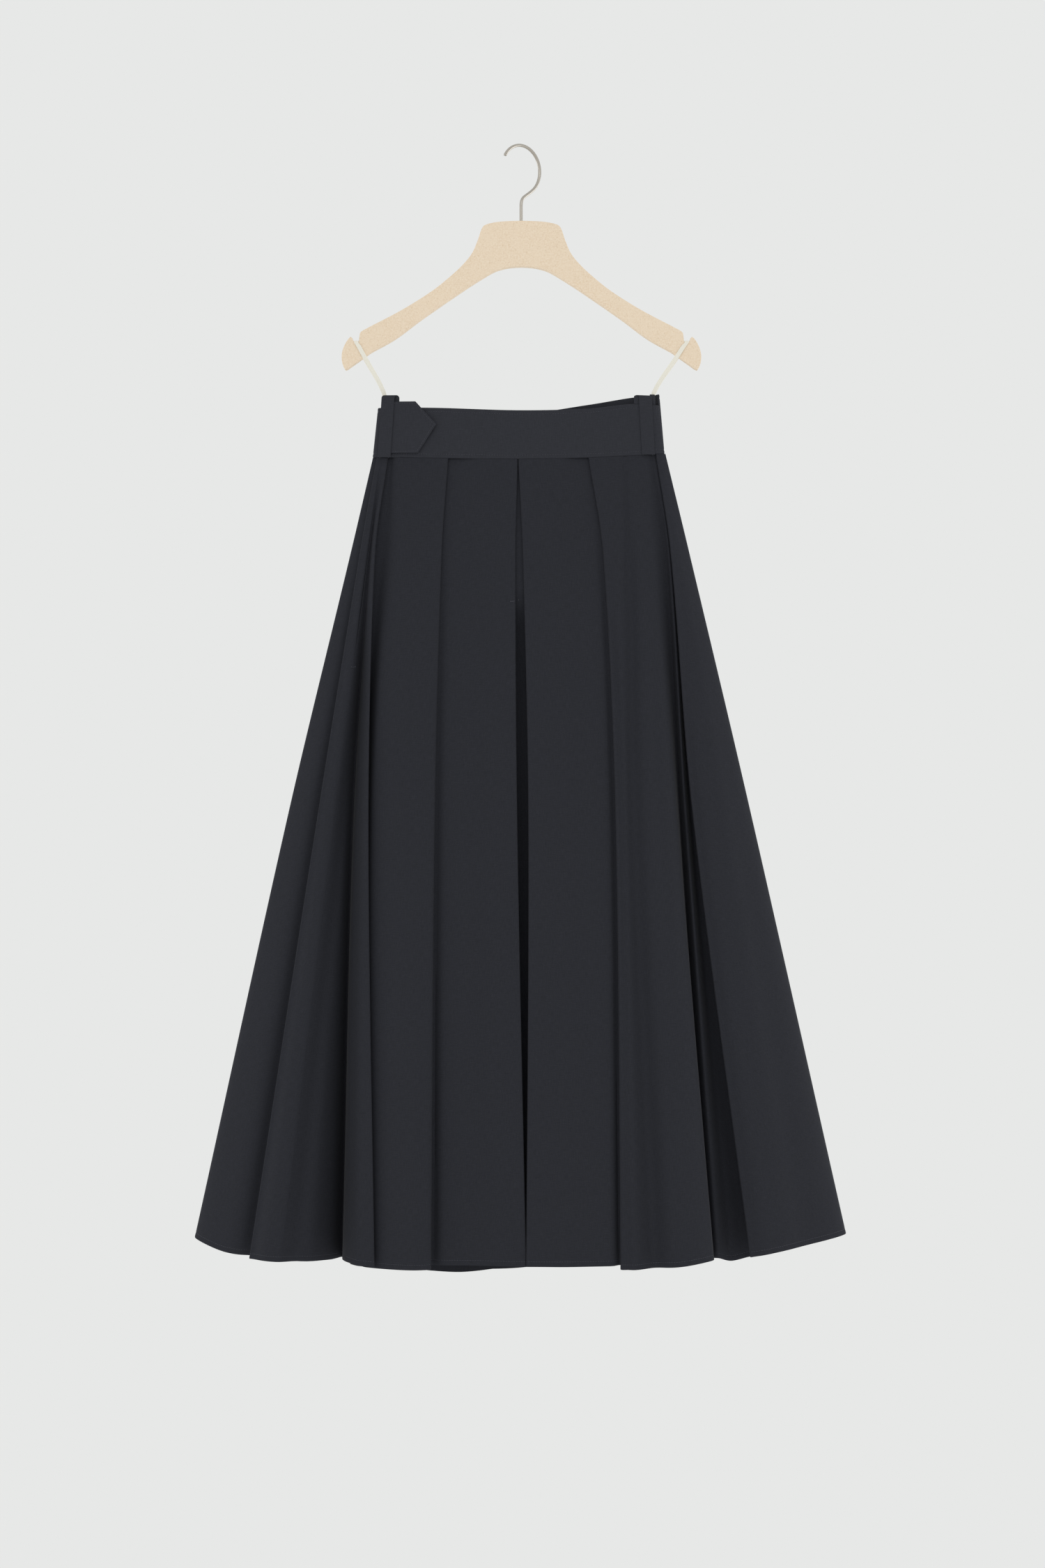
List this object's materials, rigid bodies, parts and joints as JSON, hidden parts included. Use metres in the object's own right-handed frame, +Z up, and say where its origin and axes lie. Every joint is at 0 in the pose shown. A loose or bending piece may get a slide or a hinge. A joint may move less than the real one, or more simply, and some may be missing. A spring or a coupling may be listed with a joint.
{
  "type": "pleated maxi skirt on a hanger",
  "caption": "Long pleated cotton skirt with a plain waistband and a pointed belt tab, hung by tape loops on a flat pressed-wood hanger.",
  "frame": {"origin": "inside top of the hanger's hook, where it rests on a rail", "axes": "+Z up, +X to the viewer's right in the picture, -Y out of the skirt's front"},
  "size_m": [0.7758, 0.2409, 1.3562],
  "materials": {
    "skirt_cloth": "matte navy cotton twill",
    "band_cloth": "matte navy cotton, topstitched",
    "tape": "ivory cotton tape",
    "pressed_wood": "pale pressed wood, unvarnished",
    "nickel_wire": "satin nickel-plated wire"
  },
  "bodies": {
    "root": {"skirt_front_left": "skirt_cloth", "skirt_front_right": "skirt_cloth", "skirt_back_right": "skirt_cloth", "skirt_back_left": "skirt_cloth", "waistband_front": "band_cloth", "waistband_back": "band_cloth", "belt_tab": "band_cloth", "carrier_left": "band_cloth", "carrier_right": "band_cloth", "hanging_loop_left": "tape", "hanging_loop_right": "tape", "hanger_body": "pressed_wood", "hanger_hook": "nickel_wire"}
  },
  "joints": []
}
